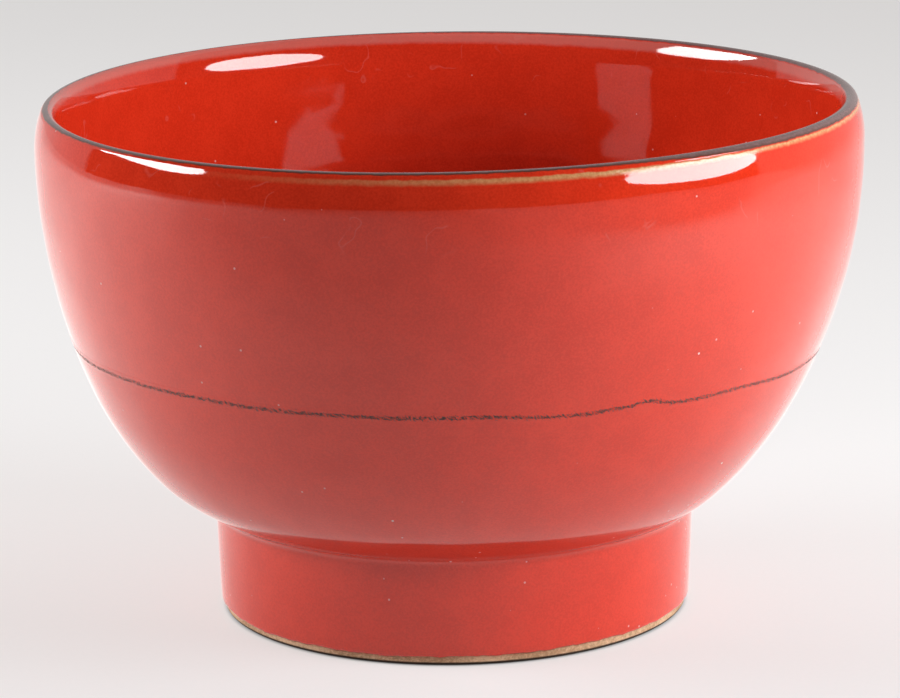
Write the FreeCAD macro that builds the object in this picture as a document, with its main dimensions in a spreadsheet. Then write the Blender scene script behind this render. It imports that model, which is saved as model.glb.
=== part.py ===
import FreeCAD, Part
import math
import os
import sys

import Sketcher

# A thrown bowl on a foot ring, glazed red, with one line drawn round its belly.
# Every piece is a ring turned round the Z axis, so each one is a half section and a revolution.
# In a section, across is the distance from the axis and up is the height above the table.
# Lengths are millimetres. The origin is the middle of the circle that the foot stands on.

# Driving sizes, one for each length that can be set by itself.
DRIVING_SIZES = [
    ("bowl_radius", 75.0, "outside radius at the widest level, glaze included"),
    ("bowl_height", 94.5, "height of the top of the lip"),
    ("lip_rise", 7.5, "height of the lip above the widest level"),
    ("lip_round", 1.25, "radius of the rounded lip, glaze included"),
    ("lip_inset", 2.45, "how far inside the widest place the middle of the lip's rounding lies"),
    ("lip_flare", 17.0, "radius of the flare that eases the inside out to the lip"),
    ("inner_rise", 3.5, "how far above the lip the inner belly would stand upright"),
    ("wall", 4.4, "thickness of the upright wall behind the flare, both glazes included"),
    ("heel_wall", 7.0, "thickness where the wall turns into the floor, both glazes included"),
    ("heel_turn", 48.0, "degrees that the outline turns through at the heel, up from the level"),
    ("heel_share", 0.73, "heel curve, as a share of the reach from its centre to the widest place"),
    ("belly_share", 0.728, "share of the height above the heel that the belly curve takes"),
    ("floor_thick", 5.0, "thickness of the middle of the floor, both glazes included"),
    ("floor_curve", 430.0, "radius of the gently dished floor"),
    ("base_height", 17.5, "height of the clay underside within the foot"),
    ("glaze_coat", 0.6, "thickness of the fired glaze"),
    ("foot_radius", 43.3, "outside radius of the foot at the table, glaze included"),
    ("foot_spread", 0.65, "how much wider the foot is at the base height"),
    ("foot_width", 5.6, "width of the clay ring at the table"),
    ("heel_inset", 5.95, "how far inside the clay ring the outline leaves the level underside"),
    ("recess_draw", 1.1, "how much narrower the recess is at the base height"),
    ("standing_round", 0.9, "rounding of the two edges that meet the table"),
    ("bare_band", 1.3, "height of the clay left bare above the table"),
    ("crease_round", 2.6, "rounding of the glaze that pools above the foot"),
    ("recess_round", 2.4, "rounding of the glaze in the corner of the recess"),
    ("slip_layer", 0.7, "thickness of the slip that lutes the foot on"),
    ("line_rise", 7.73, "height of the middle of the drawn line above the foot of the belly curve"),
    ("line_width", 1.2, "height of the drawn line, edge to edge"),
    ("line_depth", 0.3, "how deep the line lies in the glaze"),
]

doc = FreeCAD.newDocument("footed_bowl")
sheet = doc.addObject("Spreadsheet::Sheet", "Sizes")
for row, (alias, number, note) in enumerate(DRIVING_SIZES, start=1):
    sheet.set(f"A{row}", alias)
    sheet.set(f"B{row}", str(number))
    sheet.set(f"C{row}", note)
    sheet.setAlias(f"B{row}", alias)
doc.recompute()


# A length with both its value and the sheet formula that gives it.
class Measure:
    def __init__(self, value, formula):
        self.value = value
        self.formula = formula

    def __add__(self, other):
        other = as_measure(other)
        return Measure(self.value + other.value, f"({self.formula} + {other.formula})")

    __radd__ = __add__

    def __sub__(self, other):
        other = as_measure(other)
        return Measure(self.value - other.value, f"({self.formula} - {other.formula})")

    def __rsub__(self, other):
        return as_measure(other) - self

    def __mul__(self, other):
        other = as_measure(other)
        return Measure(self.value * other.value, f"({self.formula} * {other.formula})")

    __rmul__ = __mul__

    def __truediv__(self, other):
        other = as_measure(other)
        return Measure(self.value / other.value, f"({self.formula} / {other.formula})")


def as_measure(value):
    if isinstance(value, Measure):
        return value
    return Measure(float(value), repr(value))


def size(alias):
    return Measure(float(sheet.get(alias)), f"Sizes.{alias}")


def root(measure):
    return Measure(math.sqrt(measure.value), f"sqrt({measure.formula})")


def square(measure):
    return Measure(measure.value ** 2, f"({measure.formula})^2")


def sine(degrees):
    return Measure(math.sin(math.radians(degrees.value)), f"sin({degrees.formula})")


def cosine(degrees):
    return Measure(math.cos(math.radians(degrees.value)), f"cos({degrees.formula})")


(bowl_radius, bowl_height, lip_rise, lip_round, lip_inset, lip_flare, inner_rise, wall,
 heel_wall, heel_turn, heel_share, belly_share, floor_thick, floor_curve, base_height,
 glaze_coat, foot_radius, foot_spread, foot_width, heel_inset,
 recess_draw, standing_round, bare_band, crease_round, recess_round, slip_layer,
 line_rise, line_width, line_depth) = [size(row[0]) for row in DRIVING_SIZES]

# Sizes that follow from the driving sizes have a sheet of their own, which holds their formulas.
outline_sheet = doc.addObject("Spreadsheet::Sheet", "Outline")
outline_names = []


def follows(alias, measure):
    """Keep a size's formula in the outline sheet, under a name of its own."""
    outline_names.append(alias)
    row = len(outline_names)
    outline_sheet.set(f"A{row}", alias)
    outline_sheet.set(f"B{row}", f"={measure.formula}")
    outline_sheet.setAlias(f"B{row}", alias)
    return Measure(measure.value, f"Outline.{alias}")


widest_height = follows("widest_height", bowl_height - lip_rise)
seam_height = follows("seam_height", bowl_height - lip_round)
inner_radius = follows("inner_radius", bowl_radius - wall)
floor_height = follows("floor_height", base_height - glaze_coat + floor_thick)
clay_foot_outside = follows("clay_foot_outside", foot_radius - glaze_coat)
clay_foot_inside = follows("clay_foot_inside", clay_foot_outside - foot_width)
shoulder_curve = follows(
    "shoulder_curve",
    (square(lip_inset) + square(lip_rise - lip_round) - square(lip_round))
    / (2 * (lip_inset - lip_round)))


# A place in a section, from two measures.
class Place:
    def __init__(self, across, up):
        self.across = as_measure(across)
        self.up = as_measure(up)

    def vector(self):
        return FreeCAD.Vector(self.across.value, self.up.value, 0)

    def towards(self, other):
        return math.atan2(other.up.value - self.up.value, other.across.value - self.across.value)


# Three curves in a row below an upright place, each one tighter than the one above.
# The heel turns through heel_turn. Of the height above its end, the belly takes belly_share.
# The flank fills the rest, which leaves one belly and one flank that run on without a corner.
class Outline:
    def __init__(self, name, top, heel_centre, heel_curve):
        self.heel_centre = heel_centre
        self.heel_curve = heel_curve
        heel_end = Place(
            heel_centre.across + heel_curve * sine(heel_turn),
            heel_centre.up - heel_curve * cosine(heel_turn))
        reach = follows(name + "_reach", top.across - heel_end.across)
        drop = follows(name + "_drop", top.up - heel_end.up)
        belly_drop = follows(name + "_belly_drop", belly_share * drop)
        flank_drop = follows(name + "_flank_drop", drop - belly_drop)
        lean = follows(name + "_lean", cosine(heel_turn) / (1 + sine(heel_turn)))
        slack = follows(name + "_slack", drop - lean * reach)
        spare = 4 * lean * flank_drop * (reach + lean * belly_drop)
        flank_reach = follows(
            name + "_flank_reach", (root(square(slack) + spare) - slack) / (2 * lean))
        belly_reach = follows(name + "_belly_reach", reach - flank_reach)
        self.belly_curve = follows(
            name + "_belly_curve",
            (square(belly_reach) + square(belly_drop)) / (2 * belly_reach))
        self.flank_curve = follows(
            name + "_flank_curve",
            (square(flank_reach) + square(flank_drop))
            / (2 * (flank_drop * cosine(heel_turn) - flank_reach * sine(heel_turn))))
        self.belly_centre = Place(top.across - self.belly_curve, top.up)
        self.flank_centre = Place(
            heel_end.across - self.flank_curve * sine(heel_turn),
            heel_end.up + self.flank_curve * cosine(heel_turn))
        self.belly_drop = belly_drop
        self.flank_angle = -math.asin(belly_drop.value / self.belly_curve.value)
        self.heel_angle = self.flank_centre.towards(heel_centre)

    def join_height(self, depth):
        """Height where belly and flank meet, at a depth below the glaze surface."""
        shrink = (self.belly_curve - depth) / self.belly_curve
        return self.belly_centre.up - self.belly_drop * shrink


heel_across = follows("heel_across", clay_foot_inside - heel_inset)
heel_curve = follows("heel_curve", heel_share * (bowl_radius - heel_across))
outside = Outline(
    "outside", Place(bowl_radius, widest_height),
    Place(heel_across, follows("heel_up", base_height - glaze_coat + heel_curve)), heel_curve)
shoulder_centre = Place(bowl_radius - shoulder_curve, widest_height)
lip_centre = Place(bowl_radius - lip_inset, seam_height)

floor_centre = Place(0, floor_height + floor_curve)
inner_heel_curve = follows("inner_heel_curve", heel_curve - heel_wall)
inner_heel_up = follows(
    "inner_heel_up",
    floor_centre.up - root(square(floor_curve - inner_heel_curve) - square(heel_across)))
inside = Outline(
    "inside", Place(inner_radius, bowl_height + inner_rise),
    Place(heel_across, inner_heel_up), inner_heel_curve)

# The flare touches the lip's rounding from within and the inner belly from without.
# Its middle is where two circles round their middles cross, on the side of the clay.
flare_reach = follows("flare_reach", lip_flare - lip_round)
belly_way = Place(
    follows("belly_way_across", inside.belly_centre.across - lip_centre.across),
    follows("belly_way_up", inside.belly_centre.up - lip_centre.up))
belly_way_long = follows("belly_way_long", root(square(belly_way.across) + square(belly_way.up)))
flare_along = follows(
    "flare_along",
    (square(belly_way_long) + square(flare_reach) - square(inside.belly_curve + lip_flare))
    / (2 * belly_way_long))
flare_aside = follows("flare_aside", root(square(flare_reach) - square(flare_along)))
flare_centre = Place(
    follows("flare_across", lip_centre.across + (
        flare_along * belly_way.across - flare_aside * belly_way.up) / belly_way_long),
    follows("flare_up", lip_centre.up + (
        flare_along * belly_way.up + flare_aside * belly_way.across) / belly_way_long))
line_height = follows("line_height", outside.join_height(0) + line_rise)
doc.recompute()

# Numbers by which a section names the places of an item, and its two axes.
START, END, CENTRE = range(1, 4)
LEVEL_AXIS, UPRIGHT_AXIS = range(-1, -3, -1)
ORIGIN_POINT = (LEVEL_AXIS, START)
DOWN, LEFT, RIGHT = -math.pi / 2, math.pi, 0.0


# A half section drawn in the XZ plane of its own body.
class Section:
    def __init__(self, body, name):
        self.sketch = body.newObject("Sketcher::SketchObject", name)
        planes = [item for item in body.Origin.OriginFeatures if item.Role == "XZ_Plane"]
        self.sketch.AttachmentSupport = [(planes[0], "")]
        self.sketch.MapMode = "FlatFace"

    def line(self, start, end, guide=False):
        return self.sketch.addGeometry(Part.LineSegment(start, end), guide)

    def arc(self, centre, radius, start_angle, end_angle):
        circle = Part.Circle(centre.vector(), FreeCAD.Vector(0, 0, 1), radius.value)
        return self.sketch.addGeometry(Part.ArcOfCircle(circle, start_angle, end_angle), False)

    def end_of(self, item, which):
        return self.sketch.getPoint(item, which)

    def rule(self, kind, *places):
        return self.sketch.addConstraint(Sketcher.Constraint(kind, *places))

    def meet(self, first, first_end, second, second_end):
        self.rule("Coincident", first, first_end, second, second_end)

    def smooth(self, first, first_end, second, second_end):
        self.rule("Tangent", first, first_end, second, second_end)

    def on(self, item, which, other):
        self.rule("PointOnObject", item, which, other)

    def bind(self, name, number, measure):
        self.sketch.renameConstraint(number, name)
        self.sketch.setExpression(f"Constraints.{name}", measure.formula)

    def radius(self, name, item, measure):
        self.bind(name, self.rule("Radius", item, measure.value), measure)

    def across(self, name, item, which, measure):
        number = self.rule("DistanceX", *ORIGIN_POINT, item, which, measure.value)
        self.bind(name, number, measure)

    def up(self, name, item, which, measure):
        number = self.rule("DistanceY", *ORIGIN_POINT, item, which, measure.value)
        self.bind(name, number, measure)

    def guide(self, name, foot_across, spread):
        """Slanted guide line of the foot: its place at the table and its spread at the base."""
        head = Place(foot_across + spread, base_height)
        guide = self.line(Place(foot_across, 0).vector(), head.vector(), True)
        self.on(guide, START, LEVEL_AXIS)
        self.across(name + "_at_table", guide, START, foot_across)
        self.across(name + "_at_base", guide, END, head.across)
        self.up(name + "_base", guide, END, head.up)
        return guide


def make_body(label):
    body = doc.addObject("PartDesign::Body", label)
    body.Label = label
    return body


def turn(body, section, name):
    """Turn a section a full circle round the Z axis."""
    feature = body.newObject("PartDesign::Revolution", name)
    feature.Profile = section.sketch
    feature.ReferenceAxis = (section.sketch, ["V_Axis"])
    feature.Angle = 360.0
    section.sketch.Visibility = False
    return feature


lip_angle = shoulder_centre.towards(lip_centre)
flare_start = flare_centre.towards(lip_centre)
flare_end = flare_centre.towards(inside.belly_centre)
floor_angle = floor_centre.towards(inside.heel_centre)


def belly_arc(section, name, curve, start_angle, end_angle):
    """An arc of the belly. Its two ends are left free along it."""
    arc = section.arc(outside.belly_centre, curve, start_angle, end_angle)
    section.radius(name + "_curve", arc, curve)
    section.across(name + "_across", arc, CENTRE, outside.belly_centre.across)
    section.up(name + "_up", arc, CENTRE, outside.belly_centre.up)
    return arc


def outside_curves(section, name, depth, belly_end=RIGHT):
    """Belly, flank and heel of the outside, at a depth below the glaze surface.

    The belly's upper end and the heel's lower end are left free.
    """
    flank_radius = outside.flank_curve - depth
    heel_radius = outside.heel_curve - depth
    belly = belly_arc(
        section, name + "_belly", outside.belly_curve - depth, outside.flank_angle, belly_end)
    flank = section.arc(
        outside.flank_centre, flank_radius, outside.heel_angle, outside.flank_angle)
    heel = section.arc(outside.heel_centre, heel_radius, DOWN, outside.heel_angle)
    section.smooth(flank, END, belly, START)
    section.smooth(heel, END, flank, START)
    section.radius(name + "_flank_curve", flank, flank_radius)
    section.radius(name + "_heel_curve", heel, heel_radius)
    section.up(name + "_belly_join", belly, START, outside.join_height(depth))
    return belly, flank, heel


def inner_seam_up(depth):
    """Height where the lip's rounding runs into the flare, at a depth below the glaze surface."""
    return lip_centre.up + (lip_round - depth) * (lip_centre.up - flare_centre.up) / flare_reach


def inside_curves(section, name, depth):
    """Inside of the bowl from the lip to the middle of the floor, at a depth below the glaze.

    The flare's upper end and its middle's distance from the axis are left free.
    """
    flare = section.arc(flare_centre, lip_flare - depth, flare_start, flare_end)
    belly_radius = inside.belly_curve + depth
    flank_radius = inside.flank_curve + depth
    heel_radius = inside.heel_curve + depth
    belly = section.arc(inside.belly_centre, belly_radius, inside.flank_angle, flare_end - math.pi)
    flank = section.arc(inside.flank_centre, flank_radius, inside.heel_angle, inside.flank_angle)
    heel = section.arc(inside.heel_centre, heel_radius, floor_angle, inside.heel_angle)
    floor = section.arc(floor_centre, floor_curve + depth, DOWN, floor_angle)
    section.smooth(belly, END, flare, END)
    section.smooth(flank, END, belly, START)
    section.smooth(heel, END, flank, START)
    section.smooth(floor, END, heel, START)
    section.radius(name + "_flare_curve", flare, lip_flare - depth)
    section.up(name + "_flare_up", flare, CENTRE, flare_centre.up)
    section.radius(name + "_inner_belly_curve", belly, belly_radius)
    section.radius(name + "_inner_flank_curve", flank, flank_radius)
    section.radius(name + "_inner_heel_curve", heel, heel_radius)
    section.radius(name + "_floor_curve", floor, floor_curve + depth)
    section.up(name + "_inner_top", belly, CENTRE, inside.belly_centre.up)
    section.up(name + "_inner_join", belly, START, inside.join_height(0 - depth))
    section.on(floor, CENTRE, UPRIGHT_AXIS)
    section.on(floor, START, UPRIGHT_AXIS)
    section.up(name + "_floor_height", floor, START, floor_height - depth)
    return flare, floor


def make_bowl_wall():
    """The thrown clay: floor, wall and lip in one turn of the section."""
    body = make_body("bowl_wall")
    section = Section(body, "wall_section")
    belly, flank, heel = outside_curves(section, "clay", glaze_coat)
    shoulder = section.arc(shoulder_centre, shoulder_curve - glaze_coat, RIGHT, lip_angle)
    lip = section.arc(lip_centre, lip_round - glaze_coat, lip_angle, flare_start)
    flare, floor = inside_curves(section, "clay", glaze_coat)
    base = section.line(Place(0, base_height).vector(), section.end_of(heel, START))
    axis = section.line(section.end_of(floor, START), Place(0, base_height).vector())
    section.rule("Horizontal", belly, CENTRE, belly, END)
    section.smooth(belly, END, shoulder, START)
    section.smooth(shoulder, END, lip, START)
    section.smooth(lip, END, flare, START)
    section.smooth(base, END, heel, START)
    section.meet(floor, START, axis, START)
    section.meet(axis, END, base, START)
    section.radius("lip_round", lip, lip_round - glaze_coat)
    section.across("lip_across", lip, CENTRE, lip_centre.across)
    section.up("lip_up", lip, CENTRE, lip_centre.up)
    section.rule("Horizontal", base)
    section.on(base, START, UPRIGHT_AXIS)
    section.up("base_height", base, START, base_height)
    turn(body, section, "thrown_wall")
    return body


def make_inner_glaze():
    """The coat that lines the bowl, from the seam inside the lip to the middle of the floor."""
    body = make_body("inner_glaze")
    section = Section(body, "inner_glaze_section")
    chains = []
    for name, depth in (("clay", glaze_coat), ("glaze", as_measure(0))):
        flare, floor = inside_curves(section, name, depth)
        section.across(name + "_flare_across", flare, CENTRE, flare_centre.across)
        section.up(name + "_seam", flare, START, inner_seam_up(depth))
        chains.append((flare, floor))
    for first, second in zip(*chains):
        end = section.line(section.end_of(first, START), section.end_of(second, START))
        section.meet(end, START, first, START)
        section.meet(end, END, second, START)
    turn(body, section, "inner_coat")
    return body


def shoulder_to_seam(section, name, depth):
    """The part of the shoulder curve between the widest level and the seam."""
    radius = shoulder_curve - depth
    rise = math.asin((seam_height.value - widest_height.value) / radius.value)
    return section.arc(shoulder_centre, radius, RIGHT, rise)


def meeting_place(centre, radius, foot_across, spread):
    """Where an arc's lower side meets a slanted line of the foot."""
    slope = spread.value / base_height.value
    offset = foot_across.value - centre.across.value
    middle = (centre.up.value - slope * offset) / (1 + slope ** 2)
    rest = (offset ** 2 + centre.up.value ** 2 - radius.value ** 2) / (1 + slope ** 2)
    return along_guide(foot_across, spread, middle - math.sqrt(middle ** 2 - rest))


def angle_at(centre, spot):
    return math.atan2(spot.y - centre.up.value, spot.x - centre.across.value)


def along_guide(foot_across, spread, up):
    return FreeCAD.Vector(foot_across.value + spread.value * up / base_height.value, up, 0)


def pooled_corner(centre, radius, rounding, foot_across, spread, side):
    """Place of a rounding between an arc above and a slanted line of the foot.

    side is 1 where the rounding lies outside the foot and -1 where it lies inside the recess.
    Returns the rounding's middle, its place on the arc and its place on the line.
    """
    middle = meeting_place(
        centre, radius + rounding, foot_across + side * rounding, spread)
    inward = radius.value / (radius.value + rounding.value)
    on_arc = centre.vector() + (middle - centre.vector()) * inward
    on_line = along_guide(foot_across, spread, middle.y)
    return middle, on_arc, on_line


line_low = line_height - line_width / 2
line_high = line_height + line_width / 2


def line_angles(curve):
    """Angles of the lower and upper edge of the drawn line on a curve round the belly's centre."""
    return [math.asin((edge.value - widest_height.value) / curve.value)
            for edge in (line_low, line_high)]


def make_outer_glaze():
    """The coat over the outside, from the seam below the lip down to the bare band of the foot.

    The channel round its belly holds the drawn line.
    """
    body = make_body("outer_glaze")
    section = Section(body, "outer_glaze_section")
    clay_guide = section.guide("clay_foot", clay_foot_outside, foot_spread)
    glaze_guide = section.guide("glaze_foot", foot_radius, foot_spread)

    clay_belly, _, clay_heel = outside_curves(section, "clay", glaze_coat)
    low_angle, high_angle = line_angles(outside.belly_curve)
    low_belly, _, glaze_heel = outside_curves(section, "glaze", as_measure(0), low_angle)
    high_belly = belly_arc(section, "high_belly", outside.belly_curve, high_angle, RIGHT)
    channel_curve = outside.belly_curve - line_depth
    channel = belly_arc(section, "channel", channel_curve, *line_angles(channel_curve))
    for belly, which, other in ((channel, START, low_belly), (channel, END, high_belly)):
        other_end = END if other == low_belly else START
        side = section.line(section.end_of(belly, which), section.end_of(other, other_end))
        section.meet(side, START, belly, which)
        section.meet(side, END, other, other_end)
        section.rule("Horizontal", side)
    section.up("line_low", low_belly, END, line_low)
    section.up("line_high", high_belly, START, line_high)

    shoulders = []
    for name, depth, belly in (
            ("clay", glaze_coat, clay_belly), ("glaze", as_measure(0), high_belly)):
        shoulder = shoulder_to_seam(section, name, depth)
        section.rule("Horizontal", belly, CENTRE, belly, END)
        section.smooth(belly, END, shoulder, START)
        section.radius(name + "_shoulder_curve", shoulder, shoulder_curve - depth)
        section.up(name + "_seam", shoulder, END, seam_height)
        shoulders.append(shoulder)
    clay_shoulder, glaze_shoulder = shoulders
    section.up("clay_heel_up", clay_heel, CENTRE, outside.heel_centre.up)
    section.up("glaze_heel_up", glaze_heel, CENTRE, outside.heel_centre.up)

    seam = section.line(
        section.end_of(clay_shoulder, END), section.end_of(glaze_shoulder, END))
    section.meet(seam, START, clay_shoulder, END)
    section.meet(seam, END, glaze_shoulder, END)

    clay_radius = outside.heel_curve - glaze_coat
    corner = meeting_place(outside.heel_centre, clay_radius, clay_foot_outside, foot_spread)
    bare_edge = along_guide(clay_foot_outside, foot_spread, bare_band.value)
    clay_wall = section.line(corner, bare_edge)
    section.meet(clay_wall, START, clay_heel, START)
    section.on(clay_wall, START, clay_guide)
    section.on(clay_wall, END, clay_guide)
    section.up("bare_band", clay_wall, END, bare_band)

    middle, on_heel, on_wall = pooled_corner(
        outside.heel_centre, outside.heel_curve, crease_round, foot_radius, foot_spread, 1)
    crease_centre = Place(middle.x, middle.y)
    crease = section.arc(
        crease_centre, crease_round, angle_at(crease_centre, on_heel), math.pi)
    roll_top = along_guide(foot_radius, foot_spread, bare_band.value + glaze_coat.value)
    glaze_wall = section.line(on_wall, roll_top)
    roll_centre = Place(bare_edge.x, bare_edge.y + glaze_coat.value)
    roll = section.arc(roll_centre, glaze_coat, DOWN, RIGHT)
    section.smooth(crease, START, glaze_heel, START)
    section.smooth(crease, END, glaze_wall, START)
    section.radius("crease_round", crease, crease_round)
    section.on(glaze_wall, START, glaze_guide)
    section.on(glaze_wall, END, glaze_guide)
    section.smooth(glaze_wall, END, roll, END)
    section.meet(roll, START, clay_wall, END)
    section.on(roll, CENTRE, clay_guide)
    turn(body, section, "outer_coat")
    return body


def make_drawn_line():
    """The line of dark oxide drawn round the belly, lying in the glaze."""
    body = make_body("drawn_line")
    section = Section(body, "line_section")
    arcs = []
    for name, depth in (("inner", line_depth), ("outer", as_measure(0))):
        curve = outside.belly_curve - depth
        arc = belly_arc(section, name, curve, *line_angles(curve))
        section.up(name + "_low", arc, START, line_low)
        section.up(name + "_high", arc, END, line_high)
        arcs.append(arc)
    for which in (START, END):
        side = section.line(section.end_of(arcs[0], which), section.end_of(arcs[1], which))
        section.meet(side, START, arcs[0], which)
        section.meet(side, END, arcs[1], which)
    turn(body, section, "line_ring")
    return body


def make_lip_glaze():
    """The coat over the lip, above the seams, where the glaze breaks to brown."""
    body = make_body("lip_glaze")
    section = Section(body, "lip_section")
    ends = []
    for name, depth in (("clay", glaze_coat), ("glaze", as_measure(0))):
        radius = shoulder_curve - depth
        rise = math.asin((seam_height.value - widest_height.value) / radius.value)
        shoulder = section.arc(shoulder_centre, radius, rise, lip_angle)
        lip = section.arc(lip_centre, lip_round - depth, lip_angle, flare_start)
        section.smooth(shoulder, END, lip, START)
        section.radius(name + "_shoulder_curve", shoulder, radius)
        section.radius(name + "_lip_round", lip, lip_round - depth)
        section.across(name + "_shoulder_across", shoulder, CENTRE, shoulder_centre.across)
        section.up(name + "_shoulder_up", shoulder, CENTRE, shoulder_centre.up)
        section.up(name + "_seam", shoulder, START, seam_height)
        section.up(name + "_lip_up", lip, CENTRE, lip_centre.up)
        section.up(name + "_lip_end", lip, END, inner_seam_up(depth))
        ends.append((shoulder, lip))
    for which, item in ((START, 0), (END, 1)):
        first, second = ends[0][item], ends[1][item]
        seam = section.line(section.end_of(first, which), section.end_of(second, which))
        section.meet(seam, START, first, which)
        section.meet(seam, END, second, which)
    turn(body, section, "lip_coat")
    return body


recess_spread = 0 - recess_draw


def make_foot_ring():
    """The clay ring that the bowl stands on, with its top shaped to the underside of the bowl."""
    body = make_body("foot_ring")
    section = Section(body, "foot_section")
    outer_guide = section.guide("outside", clay_foot_outside, foot_spread)
    inner_guide = section.guide("inside", clay_foot_inside, recess_spread)
    top_radius = outside.heel_curve - glaze_coat + slip_layer
    outer_top = meeting_place(outside.heel_centre, top_radius, clay_foot_outside, foot_spread)
    inner_top = meeting_place(outside.heel_centre, top_radius, clay_foot_inside, recess_spread)
    rounding = standing_round.value

    top = section.arc(
        outside.heel_centre, top_radius,
        angle_at(outside.heel_centre, inner_top), angle_at(outside.heel_centre, outer_top))
    outer_low = along_guide(clay_foot_outside, foot_spread, rounding)
    inner_low = along_guide(clay_foot_inside, recess_spread, rounding)
    outer_wall = section.line(outer_top, outer_low)
    inner_wall = section.line(inner_top, inner_low)
    outer_round = section.arc(
        Place(outer_low.x - rounding, rounding), standing_round, DOWN, RIGHT)
    inner_round = section.arc(
        Place(inner_low.x + rounding, rounding), standing_round, LEFT, DOWN + 2 * math.pi)
    standing = section.line(
        section.end_of(outer_round, START), section.end_of(inner_round, END))

    section.radius("top_curve", top, top_radius)
    section.across("top_across", top, CENTRE, outside.heel_centre.across)
    section.up("top_up", top, CENTRE, outside.heel_centre.up)
    section.meet(outer_wall, START, top, END)
    section.meet(inner_wall, START, top, START)
    for item, guide in ((outer_wall, outer_guide), (inner_wall, inner_guide)):
        section.on(item, START, guide)
        section.on(item, END, guide)
    section.smooth(outer_wall, END, outer_round, END)
    section.smooth(standing, START, outer_round, START)
    section.smooth(standing, END, inner_round, END)
    section.smooth(inner_wall, END, inner_round, START)
    section.radius("outer_round", outer_round, standing_round)
    section.radius("inner_round", inner_round, standing_round)
    section.rule("Horizontal", standing)
    section.on(standing, START, LEVEL_AXIS)
    turn(body, section, "ring")
    return body


def make_slip_joint():
    """The layer of slip that lutes the foot ring to the underside of the bowl."""
    body = make_body("slip_joint")
    section = Section(body, "slip_section")
    sides = (
        (section.guide("inside", clay_foot_inside, recess_spread), clay_foot_inside, recess_spread),
        (section.guide("outside", clay_foot_outside, foot_spread), clay_foot_outside, foot_spread))
    centre = outside.heel_centre
    clay_radius = outside.heel_curve - glaze_coat
    arcs = []
    for name, radius in (("bowl_side", clay_radius), ("foot_side", clay_radius + slip_layer)):
        corners = [
            angle_at(centre, meeting_place(centre, radius, across, spread))
            for _, across, spread in sides]
        arc = section.arc(centre, radius, *corners)
        section.radius(name + "_curve", arc, radius)
        section.across(name + "_across", arc, CENTRE, centre.across)
        section.up(name + "_up", arc, CENTRE, centre.up)
        arcs.append(arc)
    for which, (guide, _, _) in zip((START, END), sides):
        edge = section.line(section.end_of(arcs[0], which), section.end_of(arcs[1], which))
        section.meet(edge, START, arcs[0], which)
        section.meet(edge, END, arcs[1], which)
        section.on(edge, START, guide)
        section.on(edge, END, guide)
    turn(body, section, "slip")
    return body


def make_recess_glaze():
    """The coat inside the foot: over the underside and down the inner wall to the bare band."""
    body = make_body("recess_glaze")
    section = Section(body, "recess_section")
    centre = outside.heel_centre
    glaze_foot_inside = clay_foot_inside - glaze_coat
    clay_guide = section.guide("clay", clay_foot_inside, recess_spread)
    glaze_guide = section.guide("glaze", glaze_foot_inside, recess_spread)

    clay_radius = outside.heel_curve - glaze_coat
    corner = meeting_place(centre, clay_radius, clay_foot_inside, recess_spread)
    clay_heel = section.arc(centre, clay_radius, DOWN, angle_at(centre, corner))
    base = section.line(Place(0, base_height).vector(), section.end_of(clay_heel, START))
    bare_edge = along_guide(clay_foot_inside, recess_spread, bare_band.value)
    clay_wall = section.line(corner, bare_edge)
    section.smooth(base, END, clay_heel, START)
    section.meet(clay_heel, END, clay_wall, START)
    section.on(clay_wall, START, clay_guide)
    section.on(clay_wall, END, clay_guide)
    section.up("bare_band", clay_wall, END, bare_band)

    middle, on_heel, on_wall = pooled_corner(
        centre, outside.heel_curve, recess_round, glaze_foot_inside, recess_spread, -1)
    pool_centre = Place(middle.x, middle.y)
    glaze_heel = section.arc(centre, outside.heel_curve, DOWN, angle_at(centre, on_heel))
    ceiling = section.line(
        Place(0, base_height - glaze_coat).vector(), section.end_of(glaze_heel, START))
    pool = section.arc(pool_centre, recess_round, RIGHT, angle_at(pool_centre, on_heel))
    roll_top = along_guide(glaze_foot_inside, recess_spread, bare_band.value + glaze_coat.value)
    glaze_wall = section.line(on_wall, roll_top)
    roll_centre = Place(bare_edge.x, bare_edge.y + glaze_coat.value)
    roll = section.arc(roll_centre, glaze_coat, LEFT, DOWN + 2 * math.pi)
    section.smooth(ceiling, END, glaze_heel, START)
    section.smooth(pool, END, glaze_heel, END)
    section.smooth(pool, START, glaze_wall, START)
    section.on(glaze_wall, START, glaze_guide)
    section.on(glaze_wall, END, glaze_guide)
    section.smooth(glaze_wall, END, roll, START)
    section.meet(roll, END, clay_wall, END)
    section.on(roll, CENTRE, clay_guide)
    section.radius("recess_round", pool, recess_round)

    for name, line, heel, depth in (
            ("clay", base, clay_heel, glaze_coat), ("glaze", ceiling, glaze_heel, as_measure(0))):
        section.rule("Horizontal", line)
        section.on(line, START, UPRIGHT_AXIS)
        section.up(name + "_ceiling", line, START, base_height - glaze_coat + depth)
        section.radius(name + "_heel_curve", heel, outside.heel_curve - depth)
        section.across(name + "_heel_across", heel, CENTRE, outside.heel_centre.across)
    axis = section.line(section.end_of(base, START), section.end_of(ceiling, START))
    section.meet(axis, START, base, START)
    section.meet(axis, END, ceiling, START)
    turn(body, section, "recess_coat")
    return body


pieces = [
    make_bowl_wall(),
    make_foot_ring(),
    make_slip_joint(),
    make_outer_glaze(),
    make_inner_glaze(),
    make_lip_glaze(),
    make_recess_glaze(),
    make_drawn_line(),
]
doc.recompute()

faults = []
for item in doc.Objects:
    if "Invalid" in item.State or "Error" in item.State:
        faults.append(f"{item.Name}: {item.State}")
    if item.TypeId == "Sketcher::SketchObject" and item.solve() != 0:
        faults.append(f"{item.Name}: its rules disagree")
for piece in pieces:
    if piece.Shape.isNull() or not piece.Shape.isValid() or len(piece.Shape.Solids) != 1:
        faults.append(f"{piece.Label}: no single valid solid")
if faults:
    sys.exit("\n".join(faults))

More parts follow.
